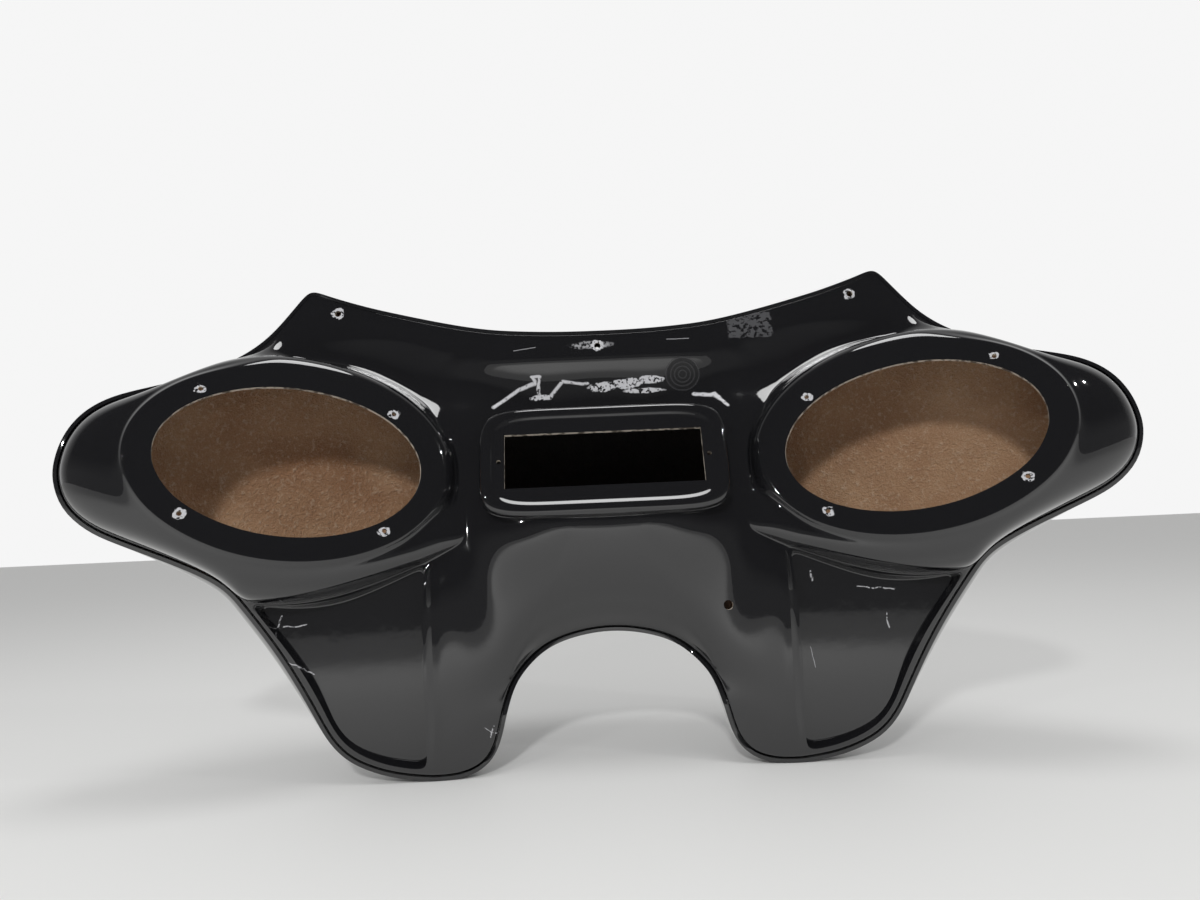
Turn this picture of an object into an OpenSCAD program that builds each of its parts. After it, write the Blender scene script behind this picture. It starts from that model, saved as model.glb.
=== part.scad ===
// Motorcycle fairing: a rider-side inner panel bonded into a front outer shell.
// Own frame: X to the right as the rider sees it, Y forward, Z up,
// with the origin at the centre of the radio seat.

/* [Whole fairing] */
// width across both wings
overall_width = 928; // [920:1:936]
// height from the ears' tips to the legs' feet
overall_height = 464.3; // [462:0.1:468]

/* [Radio bay] */
// width of the radio opening
radio_width = 182; // [170:1:190]
// height of the radio opening
radio_height = 53; // [48:1:58]
// lean of the radio seat, its lower edge nearer the rider
radio_lean = 18; // [10:1:26]
// half width of the raised frame round the radio
frame_half_width = 112; // [106:1:116]
// half height of the raised frame round the radio
frame_half_height = 51; // [46:1:54]
// height of the raised frame above the seat
frame_height = 2.5; // [2:0.5:5]
// width of the frame's flat top
frame_land = 8; // [5:0.5:10]

/* [Speaker pods] */
// distance of a speaker's centre from the middle plane
speaker_x = 271.5; // [266:0.5:276]
// forward position of a speaker's centre
speaker_y = -29; // [-36:1:-22]
// height of a speaker's centre
speaker_z = 6.6; // [2:0.2:10]
// long axis of the oval speaker opening
speaker_long = 222; // [214:1:226]
// short axis of the oval speaker opening
speaker_short = 137; // [130:1:142]
// width of the flat ring round the opening
ring_width = 21; // [17:0.5:22]
// width of the rounded brow outside the ring
brow_width = 15; // [10:0.5:16]
// height of the ring above the wing
lip_height = 5; // [3:0.5:6]
// lean of the speaker ring
speaker_lean = 13.7; // [10:0.1:18]
// turn of the speaker ring towards the rider
speaker_toe = 22; // [18:0.5:26]
// rise of the outer end of the oval
speaker_spin = 7.6; // [4:0.2:11]
// spacing of the speaker screws along the oval
screw_span_long = 164; // [160:1:168]
// spacing of the speaker screws across the oval
screw_span_short = 112; // [108:1:114]

/* [Skins and rim] */
// wall of both mouldings
skin = 3.5; // [3:0.1:4.2]
// distance from the outline to the panel's rolled edge
rim_inset = 7.5; // [7:0.25:9]
// extra width of the shell's edge under the wings
return_width = 10; // [6:0.5:12]
// depth of the groove between panel and shell
groove_depth = 7; // [5:0.5:8]
// length of the bonding flange inside the shell
bond_length = 9; // [7:0.5:10]
// layer of adhesive between the two mouldings
bond_gap = 0.2; // [0.1:0.05:0.4]
// depth of the pocket beside each leg
pocket_depth = 9; // [6:0.5:11]
// height of the rib beside each pocket
rib_height = 3.5; // [2:0.5:5]
// swell of each leg between its rib and the arch
leg_swell = 4; // [2:0.5:6]

/* [Front of the shell] */
// forward reach of the nose
nose_y = 166; // [150:1:180]
// height of the land the windshield lies on
land_height = 31; // [26:1:36]
// depth of the shell's skirt round the rim
skirt = 21; // [20:0.5:23]
// swell of the shell beside the ears
ear_swell = 13; // [8:0.5:15]
// fullness of the shell's sides
side_power = 0.44; // [0.4:0.02:0.5]

/* [Holes] */
// radius of the windshield screw holes
windshield_hole_r = 3.2; // [2.5:0.1:4]
// radius of the speaker screw holes
speaker_hole_r = 2.1; // [1.5:0.1:3]
// radius of the radio bracket screw holes
radio_hole_r = 2; // [1.5:0.1:3]
// radius of the switch hole below the radio
switch_hole_r = 4.3; // [3:0.1:6]
// radius of the bracket holes under the wings
bracket_hole_r = 4; // [3:0.1:5]

/* [Hidden] */
$fn = 48;
eps = 0.01;
// stretch of the outline's own knots, which are 928 wide and 464.3 high
wide_by = overall_width / 928;
high_by = overall_height / 464.3;
ear_screw = [259 * wide_by, 162 * high_by];
windshield_places = [[-ear_screw[0], ear_screw[1]], [0, 118 * high_by], ear_screw];
radio_screw_x = 96.5;
switch_place = [106, -138];
bracket_place = [420 * wide_by, -16, -100];
// lengths of the tools that cut and drill the mouldings
cut_length = 40;
drill_length = 60;

// half outline of the fairing, from the top middle round the wing to the arch: x, z, parts
outline_knots = [
    [0, 134, 2], [42, 134.5, 2], [84, 137, 2], [118, 141, 2], [167, 151, 2], [225, 166, 2],
    [268, 181, 2], [286, 187, 2], [298, 176, 2], [319, 144, 2], [344, 117, 2], [375, 95, 2],
    [402, 81, 2], [429, 69, 2], [448, 52, 2], [460, 28, 2], [464, -3, 1], [457, -28, 1],
    [438, -48, 2], [398, -72, 2], [350, -101, 2], [330, -124, 2], [304, -162, 2],
    [277, -208, 2], [255, -243, 1], [236, -261, 1], [205, -272, 2], [165, -277, 1],
    [161, -277.2, 1], [157, -277.3, 1], [138, -277, 1], [119, -271, 1], [107, -259, 1],
    [101, -243, 1], [97, -225, 1], [90, -203, 2], [72, -182, 2], [45, -167, 2], [0, -160, 0]];
// knots where the blocks of the panel meet the rim
knot_flange = 3;
knot_side = 21;
knot_rib = 27;
knot_leg = 31;
knot_arch = 35;

// depth of the panel's face: rows by height from the top, columns across from the middle
depth_x = wide_by * [0, 70, 140, 210, 280, 350, 420, 490];
depth_z = high_by * [200, 140, 108, 80, 50, 0, -60, -120, -180, -240, -300];
depth_map = [
    [30, 30, 30, 48, 56, 60, 40, 20],
    [50, 50, 50, 58, 61, 48, 12, -20],
    [60, 60, 60, 61, 58, 34, -10, -40],
    [66, 66, 62, 58, 50, 22, -22, -48],
    [60, 60, 44, 44, 38, 4, -36, -58],
    [24, 26, 28, 32, 18, -14, -46, -62],
    [-12, -9, 14, 18, -4, -26, -48, -60],
    [2, 2, 0, -2, -16, -30, -42, -52],
    [6, 4, -4, -8, -14, -24, -34, -44],
    [6, 4, -5, -8, -10, -14, -22, -30],
    [6, 4, -6, -8, -8, -8, -12, -18]];

function clamp(v, low, high) = min(high, max(low, v));
function mix(a, b, f) = a + (b - a) * f;
function unit(v) = v / max(norm(v), eps);
function smooth(t) = let (c = clamp(t, 0, 1)) c * c * (3 - 2 * c);
function reverse(list) = [for (i = [len(list) - 1:-1:0]) list[i]];
function slice(list, a, b) = [for (i = [a:b]) list[i]];

// smooth curve value between b and c
function curve(a, b, c, d, t) =
    b + t * ((c - a) / 2 + t * (a - 2.5 * b + 2 * c - d / 2 + t * (1.5 * (b - c) + (d - a) / 2)));

// outline points from the knots; a mirrored knot keeps the curve level at the middle
last_knot = len(outline_knots) - 1;
function knot_at(i) = [wide_by * outline_knots[i][0], high_by * outline_knots[i][1]];
function flipped(p) = [-p[0], p[1]];
function knot(i) = i < 0 ? flipped(knot_at(1)) : i > last_knot ? flipped(knot_at(last_knot - 1)) : knot_at(i);
outline = concat([for (k = [0:last_knot - 1], j = [0:outline_knots[k][2] - 1])
    curve(knot(k - 1), knot(k), knot(k + 1), knot(k + 2), j / outline_knots[k][2])], [knot(last_knot)]);
function place_of(k) = k <= 0 ? 0
    : outline_knots[ceil(k) - 1][2] * (k - ceil(k) + 1) + place_of(ceil(k) - 1);
last = len(outline) - 1;
i_flange = place_of(knot_flange);
i_side = place_of(knot_side);
i_rib = place_of(knot_rib);
i_leg = place_of(knot_leg);
i_arch = place_of(knot_arch);
// outward normals of the outline
outward = [for (i = [0:last])
    i == 0 ? [0, 1] : i == last ? [0, -1]
    : let (d = unit(outline[i + 1] - outline[i - 1])) [-d[1], d[0]]];

// depth of the smooth face at x, z
function cell(list, v, up) = max([for (k = [0:len(list) - 2]) up * (v - list[k]) >= 0 ? k : 0]);
function at(r, c) = depth_map[clamp(r, 0, len(depth_z) - 1)][clamp(abs(c), 0, len(depth_x) - 1)];
function row_value(r, c, t) = curve(at(r, c - 1), at(r, c), at(r, c + 1), at(r, c + 2), t);
function table_depth(x, z) =
    let (c = cell(depth_x, x, 1), r = cell(depth_z, z, -1),
        t = (x - depth_x[c]) / (depth_x[c + 1] - depth_x[c]),
        s = (z - depth_z[r]) / (depth_z[r + 1] - depth_z[r]))
    curve(row_value(r - 1, c, t), row_value(r, c, t), row_value(r + 1, c, t), row_value(r + 2, c, t), s);
// rolled scoop over the arch
arch_z = -276 * high_by;
function arch_roll(x, z) =
    let (rho = norm([x, z - arch_z]), turn = atan2(z - arch_z, x),
        start = 107 + 9 * smooth((turn - 20) / 40),
        wide = 13 + 33 * smooth((turn - 24) / 36),
        high = 10 + 32 * smooth((turn - 24) / 36))
    high * (1 - cos(90 * clamp((start + wide - rho) / wide, 0, 1)));
// flange above the scoop, and the height of the crease where it starts
flange_end_x = 290;
function crease_z(x) = 106 + 30 * smooth((abs(x) - 110) / 110);
function flange_y(x, z) = let (d = z - crease_z(x)) 60 + max(0.25 * min(d, 80), 0) + 3 * min(d, 0)
    - 60 * smooth((abs(x) - flange_end_x) / 120);
function face_y(x, z) = max(table_depth(abs(x), z), flange_y(x, z)) + arch_roll(abs(x), z);
// depth of the back face, so that the wall keeps its thickness on a slope
function slope(x, z) = norm([face_y(x + 2, z) - face_y(x - 2, z), face_y(x, z + 2) - face_y(x, z - 2)]) / 4;
function back_y(x, z) = face_y(x, z) + min(skin * sqrt(1 + pow(slope(x, z), 2)), 2 * skin);
function on_face(p) = [p[0], face_y(p[0], p[1]), p[1]];
function on_back(p) = [p[0], back_y(p[0], p[1]), p[1]];

// inner edge of the rim, where the blocks start
function ramp(i, a, b) = smooth((i - place_of(a)) / (place_of(b) - place_of(a)));
rim = [for (i = [0:last]) outline[i] - return_width * ramp(i, 17, 21) * ramp(i, 27, 22) * outward[i]];
edge = [for (i = [0:last]) rim[i] - rim_inset * outward[i]];

// seams between the blocks
seam_outer = edge[i_side];
seam_rib = [165, -87];
seam_frame = [129, -70];
function line(a, b, n) = [for (i = [0:n]) mix(a, b, i / n)];
pocket_seam = [for (i = [0:11]) let (f = i / 11)
    mix(seam_outer, seam_rib, f) - [0, 12 * sin(180 * pow(f, 0.85))]];
seam_parts = 13;
leg_share = [0, 0.1, 0.21, 0.55, 1];
leg_top = [for (f = leg_share) mix(seam_rib, seam_frame, f)];
frame_seam = [for (i = [0:seam_parts]) let (f = i / seam_parts)
    mix(seam_frame, edge[i_flange], f) + [3 * sin(180 * f), 0]];
rows_low = 11;
arch_seam = line(edge[i_arch], seam_frame, rows_low);
rib_line = [for (i = [0:rows_low + i_arch - i_leg]) let (n = rows_low + i_arch - i_leg)
    mix(seam_rib, edge[i_rib], i / n)];

// frame of a speaker ring: long axis, short axis, forward normal
toe = -speaker_toe;
ring_u = [cos(toe), sin(toe), 0];
ring_v = [-sin(toe) * sin(speaker_lean), cos(toe) * sin(speaker_lean), cos(speaker_lean)];
ring_n = cross(ring_v, ring_u);
ring_c = [speaker_x, speaker_y, speaker_z];
function ring_place(a, b, deep) =
    let (ca = cos(speaker_spin), sa = sin(speaker_spin))
    ring_c + (a * ca - b * sa) * ring_u + (a * sa + b * ca) * ring_v + deep * ring_n;
// point of an oval of half axes a and b, in the direction of p
function ring_turn(p) =
    let (d = p - [speaker_x, speaker_z],
        u = d[0] / ring_u[0] - d[1] * ring_v[0] / (ring_u[0] * ring_v[2]), v = d[1] / ring_v[2])
    atan2(v, u) - speaker_spin;
function oval(p, a, b, deep) =
    let (t = ring_turn(p), r = 1 / norm([cos(t) / a, sin(t) / b])) ring_place(r * cos(t), r * sin(t), deep);
hole_a = speaker_long / 2;
hole_b = speaker_short / 2;
function flat(p) = [p[0], p[2]];
function foot(p, q, reach) = let (d = norm(p - flat(q)))
    mix(flat(q), p, min(reach, 0.62 * d) / max(d, eps));
// share of the way from f to p where the flange's crease or the arch's crest is crossed
function share(f, p) =
    p[1] > 60 ? clamp((crease_z((f[0] + p[0]) / 2) - f[1]) / (p[1] - f[1]), 0.3, 0.85)
    : abs(p[0]) < 140 && p[1] < -72 ? 0.55
    : 0.6;

// loops of one speaker pod, from the opening to the block's edge: a brow with a valley
// beside the flange and the radio frame, a full round on the wing and its underside
function ring_at(p, wide, deep) = oval(p, hole_a + wide, hole_b + wide, deep);
function pod_valley(p) =
    let (room = norm(p - flat(ring_at(p, ring_width, 0))), w = min(brow_width, 0.62 * room),
        brow = ring_at(p, ring_width + w, 0.7 * w), f = foot(p, brow, 4))
    [ring_at(p, ring_width + 0.45 * w, 0.08 * w), ring_at(p, ring_width + 0.82 * w, 0.36 * w), brow,
        on_face(f), on_face(mix(f, p, share(f, p)))];
function pod_round(p) =
    let (q = ring_at(p, ring_width + 4, lip_height), y = face_y(p[0], p[1]))
    [ring_at(p, ring_width + 1.5, 0.2 * lip_height), q,
        for (s = [0.35, 0.7, 0.93]) let (g = mix(flat(q), p, s))
        [g[0], q[1] + (y - q[1]) * (1 - sqrt(1 - s * s)), g[1]]];
// the pod has a valley round its ring inside and a full round outside and below
round_from = [speaker_x + 28.5, speaker_z - 31.6];
function roundness(p) = max(smooth((p[0] - round_from[0]) / 50), smooth((round_from[1] - p[1]) / 40));
function pod_front(p) = [ring_at(p, 0, 0), ring_at(p, ring_width, 0),
    each mix(pod_valley(p), pod_round(p), roundness(p)), on_face(p)];
// point behind point i of a loop, one wall away; e is the loop's outward direction
function behind(loop, i, e) =
    let (a = loop[i] - loop[i - 1], b = loop[i + 1] - loop[i],
        m = unit(unit([a * e, a[1]]) + unit([b * e, b[1]])), k = skin / max(0.7, m * unit([a * e, a[1]])))
    loop[i] + k * (m[0] * [0, 1, 0] - m[1] * e);
function pod_back(p) =
    let (loop = pod_front(p), d = unit(p - [speaker_x, speaker_z]), e = [d[0], 0, d[1]],
        g = p - (skin + 0.4) * d, w = roundness(p))
    [ring_at(p, 0, skin), for (i = [1, 3, 4, 5, 6]) behind(loop, i, e),
        [g[0], mix(back_y(g[0], g[1]), back_y(p[0], p[1]), w), g[1]], on_back(p)];
pod_edge = concat(slice(edge, i_flange, i_side), slice(pocket_seam, 1, 10), slice(leg_top, 0, 3),
    slice(frame_seam, 0, seam_parts - 1));

// frame of the radio seat
seat_v = [0, sin(radio_lean), cos(radio_lean)];
seat_n = [0, cos(radio_lean), -sin(radio_lean)];
function seat_place(a, b, deep) = [a, 0, 0] + b * seat_v + deep * seat_n;
function tray(p, a, b, deep) =
    let (t = atan2(p[1] / cos(radio_lean), p[0]),
        r = pow(pow(abs(cos(t)) / a, 7) + pow(abs(sin(t)) / b, 7), -1 / 7))
    seat_place(r * cos(t), r * sin(t), deep);
fw = frame_half_width;
fh = frame_half_height;
function frame_steps(f, p) = let (c = share(f, p)) [0.12 * c, 0.6 * c, c, 0.5 + 0.5 * c];
function frame_front(p) =
    let (r = tray(p, fw + 2, fh + 2, -frame_height + 3), f = foot(p, r, 3.5))
    [seat_place(0, 0, 0), tray(p, fw - frame_land - 3, fh - frame_land - 3, 0),
        tray(p, fw - frame_land, fh - frame_land, -frame_height),
        tray(p, fw, fh, -frame_height), r, on_face(f),
        for (s = frame_steps(f, p)) on_face(mix(f, p, s)), on_face(p)];
function frame_back(p) =
    let (r = tray(p, fw + 2, fh + 2, -frame_height + 3), f = foot(p, r, 3.5),
        t = tray(p, fw - 2, fh - 2, skin - frame_height + 3))
    [seat_place(0, 0, skin), tray(p, fw - frame_land, fh - frame_land, skin), t,
        [t[0], max(t[1] + 1, back_y(f[0], f[1])), t[2]],
        for (s = frame_steps(f, p)) on_back(mix(f, p, s)), on_back(p)];
centre_right = concat(reverse(slice(edge, i_arch, last)), slice(arch_seam, 1, rows_low - 1),
    frame_seam, reverse(slice(edge, 0, i_flange - 1)));
centre_edge = concat(centre_right, [for (i = [len(centre_right) - 2:-1:1]) flipped(centre_right[i])]);

// pocket beside the leg
pocket_c = [232, -172];
pocket_edge = concat(pocket_seam, slice(rib_line, 1, len(rib_line) - 2),
    reverse(slice(edge, i_side + 1, i_rib)));
function inward(p, d) = p + d * unit(pocket_c - p);
function pushed(p, deep) = [p[0], p[1] + deep, p[2]];
function floor_at(p, deep) = [p[0], pocket_depth + deep + 42 - 0.18 * p[0] + 0.05 * p[1], p[1]];
function pocket_front(p) =
    [floor_at(pocket_c, 0), floor_at(inward(p, 7), 0), on_face(inward(p, 3.5)), on_face(p)];
function pocket_back(p) =
    [floor_at(pocket_c, skin), floor_at(inward(p, 4.5), skin), on_back(inward(p, 1.5)), on_back(p)];

// leg between the pocket and the arch: rows down, columns from the rib to the inner edge
leg_inner = concat(reverse(arch_seam), reverse(slice(edge, i_leg, i_arch - 1)));
leg_foot = slice(edge, i_rib, i_leg);
function leg_fade(i) = smooth(i / 2) * smooth((len(rib_line) - 1 - i) / 2);
function leg_push(i, j) = -leg_fade(i) * [0, 0, 1.5, leg_swell, 0][j];
leg_rows = [for (i = [0:len(rib_line) - 1]) let (n = len(rib_line) - 1, f = i / n)
    [for (j = [0:4]) i == 0 ? leg_top[j] : i == n ? leg_foot[j]
        : mix(rib_line[i], leg_inner[i], leg_share[j])]];
leg_front = [for (i = [0:len(leg_rows) - 1]) [for (j = [0:4])
    pushed(on_face(leg_rows[i][j]), leg_push(i, j) - (j == 1 ? rib_height * leg_fade(i) : 0))]];
leg_back = [for (i = [0:len(leg_rows) - 1])
    [for (j = [0:4]) pushed(on_back(leg_rows[i][j]), leg_push(i, j))]];

// rim of the panel: rolled edge, groove and bonding flange
function rim_at(i, inset, deep) = let (p = rim[i] - inset * outward[i])
    [p[0], face_y(edge[i][0], edge[i][1]) + deep, p[1]];
bond_inset = skin + bond_gap;
// the groove is closed along the flange and open from the shoulders on
function open(i) = ramp(i, 9.5, 12);
function rim_loop(i) =
    let (g = mix(0.8, groove_depth, open(i)), w = mix(bond_inset + 0.3, rim_inset - 2.6, open(i)),
        end = min(g + bond_length, skirt - skin - 1))
    [on_face(edge[i]), rim_at(i, w + 0.8, mix(0.1, 1.2, open(i))), rim_at(i, w, g),
        rim_at(i, bond_inset, g), rim_at(i, bond_inset, end),
        rim_at(i, bond_inset + 3.2, end), rim_at(i, bond_inset + 3.2, g + 2.8), on_back(edge[i])];

// quads between two neighbouring lists of points
function strip(a, b) = [for (j = [0:len(a) - 2]) [a[j], b[j], b[j + 1], a[j + 1]]];
function sheet(rows) = [for (i = [0:len(rows) - 2]) each strip(rows[i], rows[i + 1])];
function ring_sheet(rows) = [for (i = [0:len(rows) - 1]) each strip(rows[i], rows[(i + 1) % len(rows)])];
function turned(quads) = [for (q = quads) [q[3], q[2], q[1], q[0]]];
function mirrored(quads) = [for (q = quads) [for (p = reverse(q)) [p[0] == 0 ? 0 : -p[0], p[1], p[2]]]];

// quads to a solid
module solid(quads) {
    split = [for (q = quads) for (t = [[q[0], q[2], q[1]], [q[0], q[3], q[2]]])
        if (t[0] != t[1] && t[1] != t[2] && t[2] != t[0]) t];
    polyhedron([for (t = split) each t], [for (i = [0:len(split) - 1]) [3 * i, 3 * i + 1, 3 * i + 2]]);
}

pod_rows = [for (p = pod_edge) pod_front(p)];
pod_rows_back = [for (p = pod_edge) pod_back(p)];
pod_lip = ring_sheet([for (i = [0:len(pod_edge) - 1]) [pod_rows_back[i][0], pod_rows[i][0]]]);
centre_rows = [for (p = centre_edge) frame_front(p)];
centre_rows_back = [for (p = centre_edge) frame_back(p)];
pocket_rows = [for (p = pocket_edge) pocket_front(p)];
pocket_rows_back = [for (p = pocket_edge) pocket_back(p)];
rim_rows = [for (i = [0:last]) rim_loop(i)];

half_panel = concat(ring_sheet(pod_rows), turned(ring_sheet(pod_rows_back)), pod_lip,
    turned(ring_sheet(pocket_rows)), ring_sheet(pocket_rows_back),
    turned(sheet(leg_front)), sheet(leg_back), sheet(rim_rows));
centre_panel = concat(turned(ring_sheet(centre_rows)), ring_sheet(centre_rows_back));

module panel_skin() {
    solid(concat(half_panel, mirrored(half_panel), centre_panel));
}

// local frame of a speaker ring: X along the oval, Z across it, Y forward
module on_ring(side) {
    mirror([side < 0 ? 1 : 0, 0, 0])
    translate(ring_c)
    rotate([0, 0, -speaker_toe])
    rotate([-speaker_lean, 0, 0])
    rotate([0, -speaker_spin, 0])
    children();
}

module along_y(r, start, length) {
    translate([0, start, 0])
    rotate([-90, 0, 0])
    cylinder(r = r, h = length);
}

module speaker_screws() {
    for (side = [-1, 1])
        on_ring(side)
        for (a = [-1, 1], b = [-1, 1])
            translate([a * screw_span_long / 2, 0, b * screw_span_short / 2])
            along_y(speaker_hole_r, -6, skin + 12);
}

// screws of the windshield pass the panel's flange and the shell's land
module windshield_holes() {
    for (p = windshield_places)
        translate([p[0], 0, p[1]])
        along_y(windshield_hole_r, 50, 60);
}

module radio_screws() {
    rotate([-radio_lean, 0, 0])
    for (a = [-1, 1])
        translate([a * radio_screw_x, 0, 0])
        along_y(radio_hole_r, -5, skin + 10);
}

module switch_hole() {
    translate([switch_place[0], 0, switch_place[1]])
    along_y(switch_hole_r, -30, 60);
}

// front of the shell: columns from the upper rim down to the lower rim
function front_y(x, z) = nose_y - 165 * pow(2 * abs(x) / overall_width, 2.2) - 38 * pow((z + 20) / 150, 2);
function rim_y(i) = face_y(edge[i][0], edge[i][1]);
row_share = [0.04, 0.13, 0.28, 0.46, 0.64, 0.8, 0.91, 0.97, 1];
columns = last / 2;
function ear_share(k) = ramp(k, 7, 8.5) * ramp(k, 13, 11);
function swell_share(r, t) = r < 2 ? 0 : sqrt(max(0, sin(min(180, 470 * (t + 0.02)))));
// the land runs out past the ears' screws
function land_fade(x) = 1 - smooth((x - ear_screw[0] - 3) / 40);
function shell_point(k, r) =
    let (top = outline[k], low = outline[last - k], tall = norm(top - low), fade = land_fade(top[0]),
        first = min(0.4, mix(0.02, land_height / max(tall, 1), fade)),
        t = r < 2 ? 0 : row_share[r - 2],
        v = r == 0 ? 0 : r == 1 ? first : mix(first, 1, t),
        p = mix(top, low, v) + ear_swell * ear_share(k) * swell_share(r, t) * outward[k],
        base = mix(rim_y(k), rim_y(last - k), v) + skirt + (r > 0 ? 1.5 * (1 - v) : 0),
        power = t < 0.5 ? mix(side_power, 0.8, fade) : side_power,
        full = pow(min(1, tall / 190), 0.6),
        swell = r < 2 ? 0 : pow(max(0, sin(180 * t)), power) * full)
    k == columns ? [outline[k][0], rim_y(k) + skirt, outline[k][1]]
    : [k == 0 ? 0 : p[0], base + max(0, front_y(p[0], p[1]) - base) * swell, p[1]];
row_count = len(row_share) + 1;
shell_outer = [for (k = [0:columns]) [for (r = [0:row_count]) shell_point(k, r)]];
function neighbour(k, r) = k < 0 ? let (p = shell_outer[1][r]) [-p[0], p[1], p[2]]
    : shell_outer[min(k, columns)][clamp(r, 0, row_count)];
function inner_rim(i) = let (p = rim[i] - skin * outward[i]) [p[0], rim_y(i) + skirt - skin, p[1]];
function shell_normal(k, r) =
    unit(cross(neighbour(k + 1, r) - neighbour(k - 1, r), neighbour(k, r + 1) - neighbour(k, r - 1)));
shell_inner = [for (k = [0:columns]) [for (r = [0:row_count])
    k == columns || r == 0 ? inner_rim(k) : r == row_count ? inner_rim(last - k)
    : let (p = shell_outer[k][r] - skin * shell_normal(k, r)) [k == 0 ? 0 : p[0], p[1], p[2]]]];
function skirt_loop(i) = let (top = i > columns ? shell_outer[last - i][row_count] : shell_outer[i][0])
    [inner_rim(i), [inner_rim(i)[0], rim_y(i) + mix(0.3, 1.5, open(i)), inner_rim(i)[2]],
        [rim[i][0], rim_y(i) + mix(0.3, 1.5, open(i)), rim[i][1]], top];
half_shell = concat(sheet(shell_outer), turned(sheet(shell_inner)),
    sheet([for (i = [0:last]) skirt_loop(i)]));

module shell_skin() {
    solid(concat(half_shell, mirrored(half_shell)));
}

module bracket_holes() {
    for (side = [-1, 1])
        translate([side * bracket_place[0], bracket_place[1], bracket_place[2]])
        cylinder(r = bracket_hole_r, h = drill_length);
}

module inner_panel() {
    color([0.03, 0.03, 0.035])
    difference() {
        panel_skin();
        radio_opening();
        radio_screws();
        speaker_screws();
        windshield_holes();
        switch_hole();
    }
}

module radio_opening() {
    rotate([-radio_lean, 0, 0])
    translate([-radio_width / 2, -cut_length / 2, -radio_height / 2])
    cube([radio_width, cut_length, radio_height]);
}

module outer_shell() {
    color([0.05, 0.05, 0.055])
    difference() {
        shell_skin();
        windshield_holes();
        bracket_holes();
    }
}

inner_panel();
outer_shell();
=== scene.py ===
import math
import bpy
import bmesh
from mathutils import Vector, Matrix


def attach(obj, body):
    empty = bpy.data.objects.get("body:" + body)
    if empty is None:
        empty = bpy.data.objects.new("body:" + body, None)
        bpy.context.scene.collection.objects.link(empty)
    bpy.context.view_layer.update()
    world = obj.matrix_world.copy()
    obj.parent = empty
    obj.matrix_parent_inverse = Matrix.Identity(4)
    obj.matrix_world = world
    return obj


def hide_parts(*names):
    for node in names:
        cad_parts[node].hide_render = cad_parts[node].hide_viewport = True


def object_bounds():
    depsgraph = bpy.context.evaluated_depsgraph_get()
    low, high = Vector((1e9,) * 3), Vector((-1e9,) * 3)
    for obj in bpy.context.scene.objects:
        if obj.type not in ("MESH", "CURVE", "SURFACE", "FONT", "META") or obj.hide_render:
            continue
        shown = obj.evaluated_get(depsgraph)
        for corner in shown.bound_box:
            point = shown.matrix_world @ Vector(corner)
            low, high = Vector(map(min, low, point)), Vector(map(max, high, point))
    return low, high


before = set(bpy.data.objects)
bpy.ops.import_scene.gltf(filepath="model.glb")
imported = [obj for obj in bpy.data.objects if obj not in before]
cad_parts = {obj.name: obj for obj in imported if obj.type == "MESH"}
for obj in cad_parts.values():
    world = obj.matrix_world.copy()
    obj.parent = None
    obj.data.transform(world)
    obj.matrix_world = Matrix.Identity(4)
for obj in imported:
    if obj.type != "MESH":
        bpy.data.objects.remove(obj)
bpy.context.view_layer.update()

# sizes of the fairing in millimetres, as its mouldings are made
MM_PER_METRE = 1000
SKIN = 3.5
RIM_INSET = 7.5
RETURN = 10.0
GROOVE = 7.0
BOND = 9.0
BOND_INSET = SKIN + 0.2
SKIRT = 21.0
NOSE = 166.0
LAND = 31.0
SIDE_POWER = 0.44
EAR_SWELL = 13.0
LEAN = math.radians(18.0)
SPEAKER = Vector((271.5, -29.0, 6.6))
SPEAKER_LEAN = math.radians(13.7)
SPEAKER_TOE = math.radians(-22.0)
SPEAKER_SPIN = math.radians(7.6)
HOLE_A, HOLE_B = 111.0, 68.5
RING, BROW, LIP = 21.0, 15.0, 5.0
FRAME_W, FRAME_H, FRAME_UP, FRAME_LAND = 112.0, 51.0, 2.5, 8.0
POCKET = 9.0
RIB = 3.5
LEG_SWELL = 4.0

# crease between the scoop and the flange: its height in the middle and at the shoulders
CREASE_Z = (106, 136)
FLANGE_Y = 60
# rolled lip over the arch: centre, then start, width and rise from the legs to the crest
ARCH_Z = -276
ROLL_START, ROLL_WIDE, ROLL_HIGH = (107, 116), (13, 46), (10, 42)
# fall of the nose towards the sides and towards the chin
HALF_WIDTH = 464
SIDE_FALL, CHIN_FALL = 165, 38

# screws and holes: places, radii and lengths of drill
WINDSHIELD, WINDSHIELD_R = ((-259, 162), (0, 118), (259, 162)), 3.2
SCREWS, SCREW_R = [(a, b) for a in (-82, 82) for b in (-56, 56)], 2.1
RADIO_BAY = (182, 40, 53)
RADIO_SCREW_X, RADIO_SCREW_R = 96.5, 2.0
BRACKET, BRACKET_R = (106, -138), 4.3
EAR_SCREW, EAR_SCREW_R = (420, -16, -70), 4.0
SCREW_DRILL, SHEET_DRILL, EAR_DRILL = 12, 40, 60

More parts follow.
